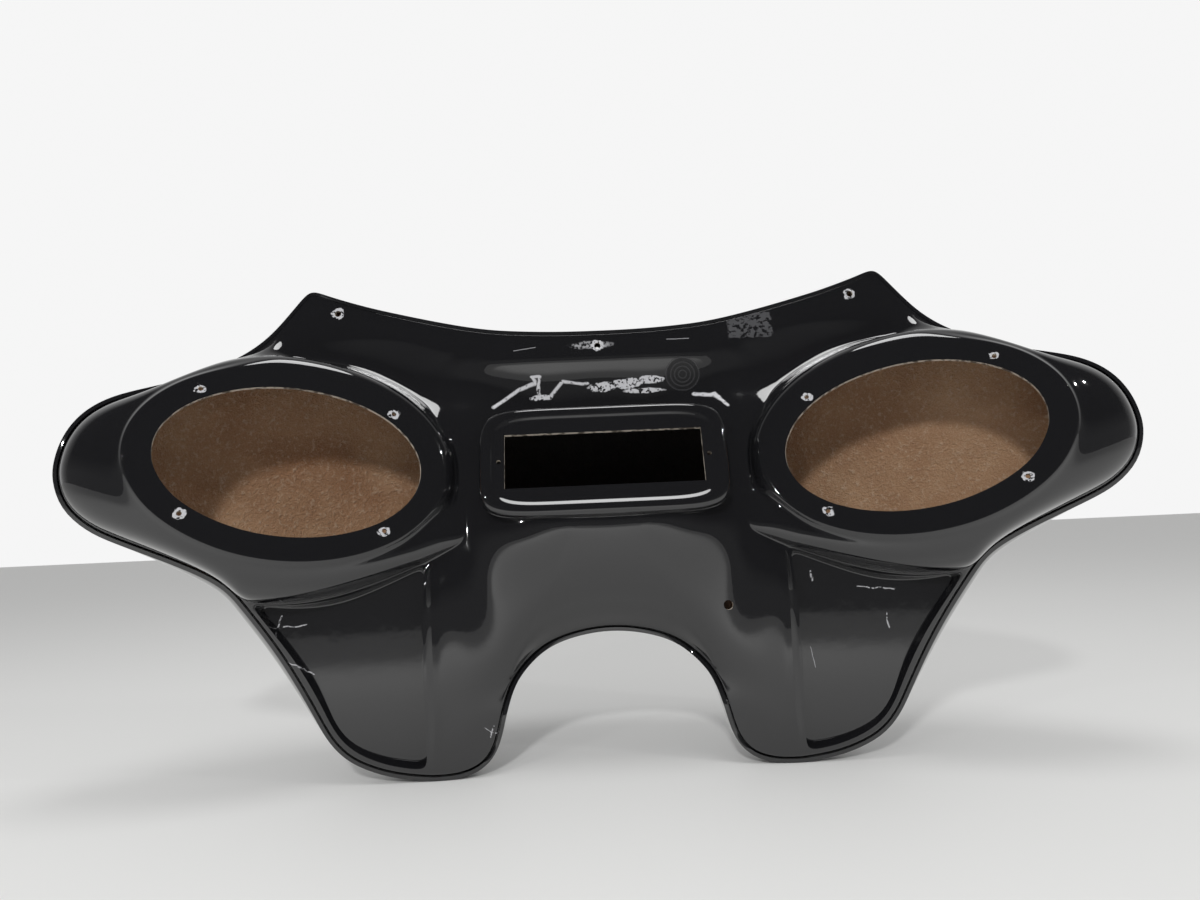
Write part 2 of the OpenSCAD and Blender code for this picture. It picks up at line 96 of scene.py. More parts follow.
# half outline, from the top centre round to the arch's crest: x, z and parts up to the next
KNOTS = [
    (0, 134, 2), (42, 134.5, 2), (84, 137, 2), (118, 141, 2), (167, 151, 2), (225, 166, 2),
    (268, 181, 2), (286, 187, 2), (298, 176, 2), (319, 144, 2), (344, 117, 2), (375, 95, 2),
    (402, 81, 2), (429, 69, 2), (448, 52, 2), (460, 28, 2), (464, -3, 1), (457, -28, 1),
    (438, -48, 2), (398, -72, 2), (350, -101, 2), (330, -124, 2), (304, -162, 2),
    (277, -208, 2), (255, -243, 1), (236, -261, 1), (205, -272, 2), (165, -277, 1),
    (161, -277.2, 1), (157, -277.3, 1), (138, -277, 1), (119, -271, 1), (107, -259, 1),
    (101, -243, 1), (97, -225, 1), (90, -203, 2), (72, -182, 2), (45, -167, 2), (0, -160, 0)]
# depth of the inner moulding's face, a row for each height and a column for each width
DEPTH_X = (0, 70, 140, 210, 280, 350, 420, 490)
DEPTH_Z = (200, 140, 108, 80, 50, 0, -60, -120, -180, -240, -300)
DEPTH = (
    (30, 30, 30, 48, 56, 60, 40, 20),
    (50, 50, 50, 58, 61, 48, 12, -20),
    (60, 60, 60, 61, 58, 34, -10, -40),
    (66, 66, 62, 58, 50, 22, -22, -48),
    (60, 60, 44, 44, 38, 4, -36, -58),
    (24, 26, 28, 32, 18, -14, -46, -62),
    (-12, -9, 14, 18, -4, -26, -48, -60),
    (2, 2, 0, -2, -16, -30, -42, -52),
    (6, 4, -4, -8, -14, -24, -34, -44),
    (6, 4, -5, -8, -10, -14, -22, -30),
    (6, 4, -6, -8, -8, -8, -12, -18))


def clamp(v, low, high):
    return min(high, max(low, v))


def mix(a, b, f):
    return a + (b - a) * f


def smooth(t):
    t = clamp(t, 0.0, 1.0)
    return t * t * (3 - 2 * t)


# smooth curve through b and c, with a before them and d after
def curve(a, b, c, d, t):
    cubic = 1.5 * (b - c) + (d - a) / 2
    return b + t * ((c - a) / 2 + t * (a - 2.5 * b + 2 * c - d / 2 + t * cubic))


def knot(i):
    if i < 0:
        return Vector((-KNOTS[1][0], KNOTS[1][1]))
    if i >= len(KNOTS):
        return Vector((-KNOTS[-2][0], KNOTS[-2][1]))
    return Vector(KNOTS[i][:2])


def place_of(k):
    whole = math.floor(k)
    return sum(row[2] for row in KNOTS[:whole]) + KNOTS[whole][2] * (k - whole)


outline = []
for k in range(len(KNOTS) - 1):
    for j in range(KNOTS[k][2]):
        t = j / KNOTS[k][2]
        near = [knot(k + n) for n in (-1, 0, 1, 2)]
        outline.append(Vector([curve(*[p[c] for p in near], t) for c in (0, 1)]))
outline.append(knot(len(KNOTS) - 1))
LAST = len(outline) - 1
outward = []
for i in range(LAST + 1):
    if i in (0, LAST):
        outward.append(Vector((0, 1 if i == 0 else -1)))
    else:
        d = (outline[i + 1] - outline[i - 1]).normalized()
        outward.append(Vector((-d.y, d.x)))
I_FLANGE, I_SIDE, I_RIB, I_LEG, I_ARCH = [int(place_of(k)) for k in (3, 21, 27, 31, 35)]


def ramp(i, a, b):
    return smooth((i - place_of(a)) / (place_of(b) - place_of(a)))


def depth_at(r, c):
    return DEPTH[clamp(r, 0, len(DEPTH_Z) - 1)][clamp(abs(c), 0, len(DEPTH_X) - 1)]


def table_depth(x, z):
    c = max([k for k in range(len(DEPTH_X) - 1) if x >= DEPTH_X[k]] or [0])
    r = max([k for k in range(len(DEPTH_Z) - 1) if z <= DEPTH_Z[k]] or [0])
    t = (x - DEPTH_X[c]) / (DEPTH_X[c + 1] - DEPTH_X[c])
    s = (z - DEPTH_Z[r]) / (DEPTH_Z[r + 1] - DEPTH_Z[r])
    rows = [curve(*[depth_at(r + n, c + m) for m in (-1, 0, 1, 2)], t) for n in (-1, 0, 1, 2)]
    return curve(*rows, s)


def crease_z(x):
    return mix(*CREASE_Z, smooth((abs(x) - 110) / 110))


def flange_y(x, z):
    d = z - crease_z(x)
    lean = max(0.25 * min(d, 80), 0) + 3 * min(d, 0)
    return FLANGE_Y + lean - FLANGE_Y * smooth((abs(x) - 290) / 120)


def arch_roll(x, z):
    rho = math.hypot(x, z - ARCH_Z)
    turn = math.degrees(math.atan2(z - ARCH_Z, x))
    start = mix(*ROLL_START, smooth((turn - 20) / 40))
    wide, high = [mix(*ends, smooth((turn - 24) / 36)) for ends in (ROLL_WIDE, ROLL_HIGH)]
    return high * (1 - math.cos(math.pi / 2 * clamp((start + wide - rho) / wide, 0, 1)))


def face_y(x, z):
    return max(table_depth(abs(x), z), flange_y(x, z)) + arch_roll(abs(x), z)


def back_y(x, z):
    across, up = face_y(x + 2, z) - face_y(x - 2, z), face_y(x, z + 2) - face_y(x, z - 2)
    slope = math.hypot(across, up) / 4
    return face_y(x, z) + min(SKIN * math.sqrt(1 + slope * slope), 2 * SKIN)


def on_face(p, deep=0.0):
    return Vector((p.x, face_y(p.x, p.y) + deep, p.y))


def on_back(p, deep=0.0):
    return Vector((p.x, back_y(p.x, p.y) + deep, p.y))


# seams between the grids that make up the inner moulding, as points x, z
rim = [outline[i] - RETURN * ramp(i, 17, 21) * ramp(i, 27, 22) * outward[i]
       for i in range(LAST + 1)]
edge = [rim[i] - RIM_INSET * outward[i] for i in range(LAST + 1)]
SEAM_RIB = Vector((165, -87))
SEAM_FRAME = Vector((129, -70))
LOW_ROWS, SEAM_PARTS = 11, 13
pocket_seam = [edge[I_SIDE].lerp(SEAM_RIB, i / LOW_ROWS)
               - Vector((0, 12 * math.sin(math.pi * (i / LOW_ROWS) ** 0.85)))
               for i in range(LOW_ROWS + 1)]
SHARE = (0, 0.1, 0.21, 0.55, 1)
leg_top = [SEAM_RIB.lerp(SEAM_FRAME, f) for f in SHARE]
frame_seam = [SEAM_FRAME.lerp(edge[I_FLANGE], i / SEAM_PARTS)
              + Vector((3 * math.sin(math.pi * i / SEAM_PARTS), 0))
              for i in range(SEAM_PARTS + 1)]
arch_seam = [edge[I_ARCH].lerp(SEAM_FRAME, i / LOW_ROWS) for i in range(LOW_ROWS + 1)]
LEG_ROWS = LOW_ROWS + I_ARCH - I_LEG
rib_line = [SEAM_RIB.lerp(edge[I_RIB], i / LEG_ROWS) for i in range(LEG_ROWS + 1)]

# directions along the flat of the speaker ring, across it and out of its back
RING_U = Vector((math.cos(SPEAKER_TOE), math.sin(SPEAKER_TOE), 0))
RING_V = Vector((-math.sin(SPEAKER_TOE) * math.sin(SPEAKER_LEAN),
                 math.cos(SPEAKER_TOE) * math.sin(SPEAKER_LEAN), math.cos(SPEAKER_LEAN)))
RING_N = RING_V.cross(RING_U)


def ring_place(a, b, deep):
    ca, sa = math.cos(SPEAKER_SPIN), math.sin(SPEAKER_SPIN)
    return SPEAKER + (a * ca - b * sa) * RING_U + (a * sa + b * ca) * RING_V + deep * RING_N


def ring_at(p, wide, deep):
    dx, dz = p.x - SPEAKER.x, p.y - SPEAKER.z
    across = dx / RING_U.x - dz * RING_V.x / (RING_U.x * RING_V.z)
    t = math.atan2(dz / RING_V.z, across) - SPEAKER_SPIN
    r = 1 / math.hypot(math.cos(t) / (HOLE_A + wide), math.sin(t) / (HOLE_B + wide))
    return ring_place(r * math.cos(t), r * math.sin(t), deep)


def flat(q):
    return Vector((q.x, q.z))


# where a raised edge at q meets the scoop, on the way to p
def foot(p, q, reach):
    d = (p - flat(q)).length
    return flat(q).lerp(p, min(reach, 0.62 * d) / max(d, 0.01))


# share of the way from f to p where the flange's crease is crossed
def share(f, p):
    if p.y > 60:
        return clamp((crease_z((f.x + p.x) / 2) - f.y) / (p.y - f.y), 0.3, 0.85)
    return 0.55 if abs(p.x) < 140 and p.y < -72 else 0.6


def pod_valley(p):
    room = (p - flat(ring_at(p, RING, 0))).length
    w = min(BROW, 0.62 * room)
    brow = ring_at(p, RING + w, 0.7 * w)
    f = foot(p, brow, 4)
    c = share(f, p)
    return [ring_at(p, RING + 0.45 * w, 0.08 * w), ring_at(p, RING + 0.82 * w, 0.36 * w), brow,
            brow.lerp(on_face(f), 0.55), on_face(f), on_face(f.lerp(p, 0.5 * c)),
            on_face(f.lerp(p, c))]


# outside and below, the pod rounds off from a low lip instead
def pod_round(p):
    q = ring_at(p, RING + 4, LIP)
    y = face_y(p.x, p.y)
    rows = [ring_at(p, RING + 1.5, 0.2 * LIP), q]
    for s in (0.25, 0.5, 0.72, 0.9, 0.985):
        g = flat(q).lerp(p, s)
        rows.append(Vector((g.x, q.y + (y - q.y) * (1 - math.sqrt(1 - s * s)), g.y)))
    return rows


def roundness(p):
    return max(smooth((p.x - 300) / 50), smooth((-25 - p.y) / 40))


# columns of the pod's grid that stay sharp
POD_HOLE, POD_RING, POD_BROW, POD_CREASE = 0, 3, 6, 10


def pod_front(p):
    w = roundness(p)
    return ([ring_at(p, 0, 0), ring_at(p, 2, 0), ring_at(p, RING - 5, 0), ring_at(p, RING, 0)]
            + [a.lerp(b, w) for a, b in zip(pod_valley(p), pod_round(p))] + [on_face(p)])


# place behind point i of a row, one skin away, in the plane of e and y
def behind(loop, i, e):
    a, b = loop[i] - loop[i - 1], loop[i + 1] - loop[i]
    a, b = Vector((a.dot(e), a.y)).normalized(), Vector((b.dot(e), b.y)).normalized()
    m = (a + b).normalized()
    k = SKIN / max(0.7, m.dot(a))
    return loop[i] + k * (m.x * Vector((0, 1, 0)) - m.y * e)


def pod_back(p):
    loop = pod_front(p)
    d = (p - flat(SPEAKER)).normalized()
    g, w = p - (SKIN + 0.4) * d, roundness(p)
    e = Vector((d.x, 0, d.y))
    return ([ring_at(p, 0, SKIN)] + [behind(loop, i, e) for i in (3, 5, 6, 8, 9, 10)]
            + [Vector((g.x, mix(back_y(g.x, g.y), back_y(p.x, p.y), w), g.y)), on_back(p)])


# the radio's frame leans, and is a rounded oblong
SEAT_V = Vector((0, math.sin(LEAN), math.cos(LEAN)))
SEAT_N = Vector((0, math.cos(LEAN), -math.sin(LEAN)))


def tray(p, a, b, deep, power=7):
    t = math.atan2(p.y / math.cos(LEAN), p.x)
    r = ((abs(math.cos(t)) / a) ** power + (abs(math.sin(t)) / b) ** power) ** (-1 / power)
    return Vector((r * math.cos(t), 0, 0)) + r * math.sin(t) * SEAT_V + deep * SEAT_N


def frame_steps(f, p):
    c = share(f, p)
    return (0.12 * c, 0.6 * c, c, 0.5 + 0.5 * c)


# columns of the frame's grid that stay sharp
FRAME_STEP, FRAME_TOP, FRAME_FOOT, FRAME_CREASE = 4, 6, 8, 11


def frame_front(p):
    w, h, l, u = FRAME_W, FRAME_H, FRAME_LAND, -FRAME_UP
    r = tray(p, w + 2, h + 2, u + 3.4)
    f = foot(p, r, 3.5)
    rows = [tray(p, 80, 20, 0), tray(p, w - l - 5, h - l - 5, 0),
            tray(p, w - l - 2, h - l - 2, -0.3), tray(p, w - l + 1, h - l + 1, u),
            tray(p, w - 2, h - 2, u), tray(p, w + 0.6, h + 0.6, u + 0.8),
            r, r.lerp(on_face(f), 0.5), on_face(f)]
    return rows + [on_face(f.lerp(p, s)) for s in frame_steps(f, p)] + [on_face(p)]


def frame_back(p):
    w, h, l = FRAME_W, FRAME_H, FRAME_LAND
    f = foot(p, tray(p, w + 2, h + 2, 3 - FRAME_UP), 3.5)
    t = tray(p, w - 2, h - 2, SKIN - FRAME_UP + 3)
    return ([tray(p, 80, 20, SKIN), tray(p, w - l, h - l, SKIN), t,
             Vector((t.x, max(t.y + 1, back_y(f.x, f.y)), t.z))]
            + [on_back(f.lerp(p, s)) for s in frame_steps(f, p)] + [on_back(p)])


# the pocket's middle, and a point d inside its edge
POCKET_C = Vector((232, -172))


def inward(p, d):
    return p + d * (POCKET_C - p).normalized()


def floor_at(p, deep=0.0):
    return Vector((p.x, POCKET + deep + 42 - 0.18 * p.x + 0.05 * p.y, p.y))


def pocket_front(p):
    a, b = floor_at(inward(p, 7)), on_face(inward(p, 3.5))
    return [floor_at(POCKET_C.lerp(inward(p, 12), 0.7)), floor_at(inward(p, 9)), a,
            a.lerp(b, 0.5), b, on_face(inward(p, 1.6)), on_face(p)]


def pocket_back(p):
    return [floor_at(POCKET_C.lerp(inward(p, 12), 0.7), SKIN), floor_at(inward(p, 4.5), SKIN),
            on_back(inward(p, 1.5)), on_back(p)]


def rim_at(i, inset, deep):
    p = rim[i] - inset * outward[i]
    return Vector((p.x, face_y(edge[i].x, edge[i].y) + deep, p.y))


# the groove is closed along the flange and open from the shoulders on
def opening(i):
    return ramp(i, 9.5, 12)


def rim_loop(i):
    o = opening(i)
    g, w = mix(0.8, GROOVE, o), mix(BOND_INSET + 0.3, RIM_INSET - 2.6, o)
    end = min(g + BOND, SKIRT - SKIN - 1)
    return [on_face(edge[i]), rim_at(i, w + 1.5, mix(0.05, 0.3, o)),
            rim_at(i, w + 0.4, mix(0.2, 1.1, o)), rim_at(i, w, mix(0.5, 2.6, o)),
            rim_at(i, w, g), rim_at(i, BOND_INSET, g), rim_at(i, BOND_INSET, end),
            rim_at(i, BOND_INSET + 3.2, end), rim_at(i, BOND_INSET + 3.2, g + 2.8),
            on_back(edge[i])]


# edges round each grid, in order
pod_edge = (edge[I_FLANGE:I_SIDE + 1] + pocket_seam[1:LOW_ROWS] + leg_top[:4]
            + frame_seam[:SEAM_PARTS])
half_edge = (edge[I_ARCH:][::-1] + arch_seam[1:LOW_ROWS] + frame_seam + edge[:I_FLANGE][::-1])
centre_edge = half_edge + [Vector((-p.x, p.y)) for p in half_edge[-2:0:-1]]
pocket_edge = pocket_seam + rib_line[1:-1] + edge[I_SIDE + 1:I_RIB + 1][::-1]
leg_inner = arch_seam[::-1] + edge[I_LEG:I_ARCH][::-1]
leg_foot = edge[I_RIB:I_LEG + 1]


def leg_fade(i):
    return smooth(i / 2) * smooth((LEG_ROWS - i) / 2)


def leg_push(i, j):
    return -leg_fade(i) * (0, 0, 1.5, LEG_SWELL, 0)[j]


def leg_row(i):
    if i == 0:
        return leg_top
    if i == LEG_ROWS:
        return leg_foot
    return [rib_line[i].lerp(leg_inner[i], f) for f in SHARE]


# material slots of both pieces
GLOSS, MAT, CUT = 0, 1, 2


# faces of the two mouldings are grids whose points are laid on the mould's surface
def patch(bm, rows, closed=False, material=GLOSS):
    n, m = len(rows), len(rows[0])
    across = n if closed else n - 1
    made = bmesh.ops.create_grid(bm, x_segments=across, y_segments=m - 1, size=1)["verts"]
    faces = set()
    for v in made:
        i, j = round((v.co.x + 1) / 2 * across), round((v.co.y + 1) / 2 * (m - 1))
        v.co = rows[i % n][j]
        faces.update(v.link_faces)
    for f in faces:
        f.material_index = material
        f.smooth = True


# closes a grid's hole with one face
def cap(bm, rows, material=GLOSS):
    face = bm.faces.new([bm.verts.new(row[0]) for row in rows])
    face.material_index = material
    face.smooth = True


def mirror_half(bm):
    bmesh.ops.mirror(bm, geom=bm.verts[:] + bm.edges[:] + bm.faces[:], matrix=Matrix.Identity(4),
                     merge_dist=0.0, axis="X")


def to_metres(bm):
    bmesh.ops.scale(bm, verts=bm.verts[:], vec=(1 / MM_PER_METRE,) * 3)


def new_object(name, bm):
    mesh = bpy.data.meshes.new(name)
    bm.to_mesh(mesh)
    bm.free()
    return bpy.data.objects.new(name, mesh)


def show(obj):
    bpy.context.scene.collection.objects.link(obj)
    return obj


# edges that subdivision leaves sharp, found again by their ends, whichever side they are on
sharp = {}


def edge_key(a, b):
    return frozenset((round(abs(v.x), 2), round(v.y, 2), round(v.z, 2)) for v in (a, b))


def mark_sharp(rows, column, weight, closed=True):
    loop = [row[column] for row in rows]
    for i in range(len(loop) if closed else len(loop) - 1):
        sharp[edge_key(loop[i], loop[(i + 1) % len(loop)])] = weight


MERGE = 0.01  # millimetres
LEVELS = 2
SHARP_ANGLE = math.radians(38)


def closed_mesh(name, bm, materials):
    bmesh.ops.remove_doubles(bm, verts=bm.verts[:], dist=MERGE)
    bmesh.ops.recalc_face_normals(bm, faces=bm.faces[:])
    layer = bm.edges.layers.float.new("crease_edge")
    for e in bm.edges:
        e[layer] = sharp.get(edge_key(e.verts[0].co, e.verts[1].co), 0.0)
    to_metres(bm)
    obj = show(new_object(name, bm))
    for m in materials:
        obj.data.materials.append(m)
    sub = obj.modifiers.new("round", "SUBSURF")
    sub.levels = sub.render_levels = LEVELS
    return obj


# inner panel: pods, pockets, legs and rim are made for one side and mirrored
def panel_cage():
    bm = bmesh.new()
    pods, pods_back = [pod_front(p) for p in pod_edge], [pod_back(p) for p in pod_edge]
    patch(bm, pods, closed=True)
    patch(bm, pods_back, closed=True, material=MAT)
    patch(bm, [[b[0], a[0]] for a, b in zip(pods, pods_back)], closed=True, material=CUT)
    mark_sharp(pods, POD_HOLE, 1.0)
    mark_sharp(pods_back, POD_HOLE, 1.0)
    mark_sharp(pods, POD_RING, 0.85)
    browed = [r for r, p in zip(pods, pod_edge) if roundness(p) < 0.1 and p.x > 140]
    mark_sharp(browed, POD_BROW, 0.5, closed=False)
    upper = [r for r, p in zip(pods, pod_edge) if p.y > 60 and p.x < 300]
    mark_sharp(upper, POD_CREASE, 0.9, closed=False)

    pocket, pocket_inside = ([pocket_front(p) for p in pocket_edge],
                             [pocket_back(p) for p in pocket_edge])
    patch(bm, pocket, closed=True)
    patch(bm, pocket_inside, closed=True, material=MAT)
    cap(bm, pocket)
    cap(bm, pocket_inside, MAT)
    for rows, column in ((pocket, 2), (pocket, 4), (pocket_inside, 1), (pocket_inside, 2)):
        mark_sharp(rows, column, 0.75)

    legs = [leg_row(i) for i in range(LEG_ROWS + 1)]
    leg_front = [[on_face(p, leg_push(i, j) - (RIB * leg_fade(i) if j == 1 else 0))
                  for j, p in enumerate(row)] for i, row in enumerate(legs)]
    leg_back = [[on_back(p, leg_push(i, j)) for j, p in enumerate(row)]
                for i, row in enumerate(legs)]
    patch(bm, leg_front)
    patch(bm, leg_back, material=MAT)
    mark_sharp(leg_front, 1, 0.6, closed=False)
    mark_sharp(leg_front, 2, 0.3, closed=False)

    loops = [rim_loop(i) for i in range(LAST + 1)]
    patch(bm, loops)
    for column in (4, 5, 6, 7):
        mark_sharp(loops, column, 0.8, closed=False)
    mirror_half(bm)

    centre, centre_back = ([frame_front(p) for p in centre_edge],
                           [frame_back(p) for p in centre_edge])
    patch(bm, centre, closed=True)
    patch(bm, centre_back, closed=True, material=MAT)
    cap(bm, centre)
    cap(bm, centre_back, MAT)
    mark_sharp(centre, FRAME_STEP, 0.7)
    mark_sharp(centre, FRAME_TOP, 0.45)
    mark_sharp(centre, FRAME_FOOT, 0.5)
    upper = [r for r, p in zip(centre, centre_edge) if p.y > 100]
    mark_sharp(upper, FRAME_CREASE, 0.9, closed=False)
    return bm


# outer shell: columns run from the upper edge round the nose to the lower edge
COLUMNS = LAST // 2
ROW_SHARE = (0.03, 0.09, 0.18, 0.3, 0.44, 0.58, 0.7, 0.8, 0.88, 0.94, 0.98, 1)


def front_y(x, z):
    return NOSE - SIDE_FALL * (abs(x) / HALF_WIDTH) ** 2.2 - CHIN_FALL * ((z + 20) / 150) ** 2


def rim_y(i):
    return face_y(edge[i].x, edge[i].y)


def shell_point(k, r):
    top, low = outline[k], outline[LAST - k]
    if k == COLUMNS:
        return Vector((top.x, rim_y(k) + SKIRT, top.y))
    tall, fade = (top - low).length, 1 - smooth((top.x - 262) / 40)
    first = min(0.4, 0.02 + (LAND / max(tall, 1) - 0.02) * fade)
    t = 0 if r < 2 else ROW_SHARE[r - 2]
    v = 0 if r == 0 else first if r == 1 else first + (1 - first) * t
    arc = math.radians(min(180, 470 * (t + 0.02)))
    bulge = 0 if r < 2 else math.sqrt(max(0, math.sin(arc)))
    p = top.lerp(low, v) + EAR_SWELL * ramp(k, 7, 8.5) * ramp(k, 13, 11) * bulge * outward[k]
    base = rim_y(k) + (rim_y(LAST - k) - rim_y(k)) * v + SKIRT + (1.5 * (1 - v) if r else 0)
    power = SIDE_POWER + (0.8 - SIDE_POWER) * fade if t < 0.5 else SIDE_POWER
    swell = 0 if r < 2 else max(0, math.sin(math.pi * t)) ** power * min(1, tall / 190) ** 0.6
    return Vector((0 if k == 0 else p.x, base + max(0, front_y(p.x, p.y) - base) * swell, p.y))


def shell_cage():
    bm = bmesh.new()
    count = len(ROW_SHARE) + 2
    outer = [[shell_point(k, r) for r in range(count)] for k in range(COLUMNS + 1)]

    def near(k, r):
        if k < 0:
            p = outer[1][r]
            return Vector((-p.x, p.y, p.z))
        return outer[min(k, COLUMNS)][clamp(r, 0, count - 1)]

    def inner_rim(i):
        p = rim[i] - SKIN * outward[i]
        return Vector((p.x, rim_y(i) + SKIRT - SKIN, p.y))

    def inner(k, r):
        if k == COLUMNS or r == 0:
            return inner_rim(k)
        if r == count - 1:
            return inner_rim(LAST - k)
        n = (near(k + 1, r) - near(k - 1, r)).cross(near(k, r + 1) - near(k, r - 1))
        p = outer[k][r] - SKIN * n.normalized()
        return Vector((0 if k == 0 else p.x, p.y, p.z))

    def skirt_row(i):
        top = outer[LAST - i][count - 1] if i > COLUMNS else outer[i][0]
        a, y = inner_rim(i), rim_y(i) + mix(0.3, 1.5, opening(i))
        row = [a, Vector((a.x, y + 1, a.z)), Vector((a.x, y, a.z)),
               Vector((rim[i].x, y, rim[i].y))]
        for t in (0.08, 0.4, 0.75):
            b = rim[i].lerp(outline[i], math.sin(math.pi / 2 * t))
            row.append(Vector((b.x, mix(y, top.y, t), b.y)))
        return row + [top]

    skirt = [skirt_row(i) for i in range(LAST + 1)]
    patch(bm, outer)
    patch(bm, [[inner(k, r) for r in range(count)] for k in range(COLUMNS + 1)], material=MAT)
    patch(bm, skirt)
    mark_sharp(skirt, 2, 0.9, closed=False)
    mark_sharp(skirt, 3, 0.5, closed=False)
    mirror_half(bm)
    return bm


FORWARD, UPWARD = Vector((0, 1, 0)), Vector((0, 0, 1))


def drill(bm, place, axis, radius, length):
    made = bmesh.ops.create_cone(bm, cap_ends=True, segments=40, radius1=radius, radius2=radius,
                                 depth=length)["verts"]
    turn = UPWARD.rotation_difference(axis).to_matrix().to_4x4()
    bmesh.ops.transform(bm, matrix=Matrix.Translation(place) @ turn, verts=made)


def cutter(name, bm):
    for f in bm.faces:
        f.material_index = CUT
    bmesh.ops.recalc_face_normals(bm, faces=bm.faces[:])
    to_metres(bm)
    return show(new_object(name, bm))


# drills the holes into the rounded mesh and keeps the result as the piece's own mesh
def finished(obj, tool):
    cut = obj.modifiers.new("holes", "BOOLEAN")
    cut.operation, cut.solver, cut.object = "DIFFERENCE", "EXACT", tool
    bpy.context.view_layer.update()
    graph = bpy.context.evaluated_depsgraph_get()
    mesh = bpy.data.meshes.new_from_object(obj.evaluated_get(graph))
    old = obj.data
    obj.modifiers.clear()
    obj.data = mesh
    bpy.data.meshes.remove(old)
    tool_mesh = tool.data
    bpy.data.objects.remove(tool)
    bpy.data.meshes.remove(tool_mesh)
    mesh.set_sharp_from_angle(angle=SHARP_ANGLE)
    return obj


def other_side(v):
    return Vector((-v.x, v.y, v.z))


def panel_holes():
    bm = bmesh.new()
    box = bmesh.ops.create_cube(bm, size=1)["verts"]
    bmesh.ops.scale(bm, verts=box, vec=RADIO_BAY)
    bmesh.ops.transform(bm, matrix=Matrix.Rotation(-LEAN, 4, "X"), verts=box)
    for x in (-RADIO_SCREW_X, RADIO_SCREW_X):
        drill(bm, Vector((x, 0, 0)) + 2 * SEAT_N, SEAT_N, RADIO_SCREW_R, SCREW_DRILL)
    for a, b in SCREWS:
        p = ring_place(a, b, 2)
        drill(bm, p, RING_N, SCREW_R, SCREW_DRILL)
        drill(bm, other_side(p), other_side(RING_N), SCREW_R, SCREW_DRILL)
    for x, z in WINDSHIELD:
        drill(bm, Vector((x, 74, z)), FORWARD, WINDSHIELD_R, SHEET_DRILL)
    drill(bm, Vector((BRACKET[0], 0, BRACKET[1])), FORWARD, BRACKET_R, SHEET_DRILL)
    return cutter("panel_drill", bm)


def shell_holes():
    bm = bmesh.new()
    for x, z in WINDSHIELD:
        drill(bm, Vector((x, 84, z)), FORWARD, WINDSHIELD_R, SHEET_DRILL)
    ear = Vector(EAR_SCREW)
    for place in (other_side(ear), ear):
        drill(bm, place, UPWARD, EAR_SCREW_R, EAR_DRILL)
    return cutter("shell_drill", bm)


# materials: shader maths as expressions on sockets
class S:
    def __init__(self, tree, socket):
        self.tree, self.socket = tree, socket

    def _math(self, op, *others):
        n = self.tree.nodes.new("ShaderNodeMath")
        n.operation = op
        for slot, v in zip(n.inputs, (self,) + others):
            put(self.tree, slot, v)
        return S(self.tree, n.outputs[0])

    def __add__(self, o):
        return self._math("ADD", o)

    __radd__ = __add__

    def __mul__(self, o):
        return self._math("MULTIPLY", o)

    def __sub__(self, o):
        return self._math("SUBTRACT", o)

    def __rsub__(self, o):
        return (self * -1)._math("ADD", o)

    def __truediv__(self, o):
        return self._math("DIVIDE", o)

    def __pow__(self, o):
        return self._math("POWER", o)

    def at_least(self, o):
        return self._math("MAXIMUM", o)

    def at_most(self, o):
        return self._math("MINIMUM", o)

    def size(self):
        return self._math("ABSOLUTE")

    def clip(self):
        return self.at_least(0.0).at_most(1.0)

    def above(self, level, soft):
        return ((self - level) / soft).clip()


def put(tree, slot, value):
    if isinstance(value, S):
        tree.links.new(value.socket, slot)
    elif value is not None:
        slot.default_value = value


# an empty node tree, filled by calls
class Nodes:
    def __init__(self, tree):
        self.tree = tree
        tree.nodes.clear()

    def node(self, kind, settings=None, inputs=None, output=0):
        n = self.tree.nodes.new("ShaderNode" + kind)
        for k, v in (settings or {}).items():
            setattr(n, k, v)
        for k, v in (inputs or {}).items():
            put(self.tree, n.inputs[k], v)
        return S(self.tree, n.outputs[output])

    def end(self, kind, shader):
        put(self.tree, self.tree.nodes.new("ShaderNodeOutput" + kind).inputs[0], shader)

    def where(self, kind="Object"):
        return self.node("TexCoord", output=kind)

    def axes(self, kind="Object"):
        n = self.tree.nodes.new("ShaderNodeSeparateXYZ")
        put(self.tree, n.inputs[0], self.where(kind))
        return [S(self.tree, n.outputs[i]) for i in range(3)]

    def noise(self, scale, detail, rough=0.5):
        return self.node("TexNoise", inputs={"Vector": self.where(), "Scale": scale,
                                             "Detail": detail, "Roughness": rough})

    def tint(self, factor, a, b):
        return self.node("Mix", {"data_type": "RGBA"}, {"Factor": factor, 6: a, 7: b}, 2)

    def bump(self, height, strength, distance):
        return self.node("Bump", inputs={"Height": height, "Strength": strength,
                                         "Distance": distance})


class Surface(Nodes):
    def __init__(self, name):
        self.material = bpy.data.materials.new(name)
        self.material.use_nodes = True
        super().__init__(self.material.node_tree)

    def shade(self, **inputs):
        named = {k.replace("_", " "): v for k, v in inputs.items()}
        self.end("Material", self.node("BsdfPrincipled", inputs=named))
        return self.material


# wear on the rider's side, in millimetres: lines from x, z to x, z, and spots as x, z and
# half their width and height
RESIDUE = [
    ((-105, 59), (-80, 77)), ((-80, 77), (-64, 82)), ((-64, 82), (-68, 88)),
    ((-68, 88), (-59, 89)), ((-60, 88), (-60, 69)), ((-48, 70), (-37, 83)),
    ((-37, 83), (-12, 80)), ((93, 64), (113, 63)), ((113, 63), (124, 50))]
BLOBS = [(-59, 68, 13, 3.5), (3, 76, 16, 6), (28, 79, 18, 6), (52, 82, 14, 5), (46, 71, 24, 3)]
CRACKS = [
    ((-290, -128), (-293, -138)), ((-293, -138), (-270, -137)), ((-282, -166), (-263, -180)),
    ((186, -111), (188, -119)), ((225, -127), (257, -130)), ((247, -152), (250, -164)),
    ((-116, -235), (-106, -243)), ((-108, -234), (-113, -245)), ((93, -216), (101, -226))]
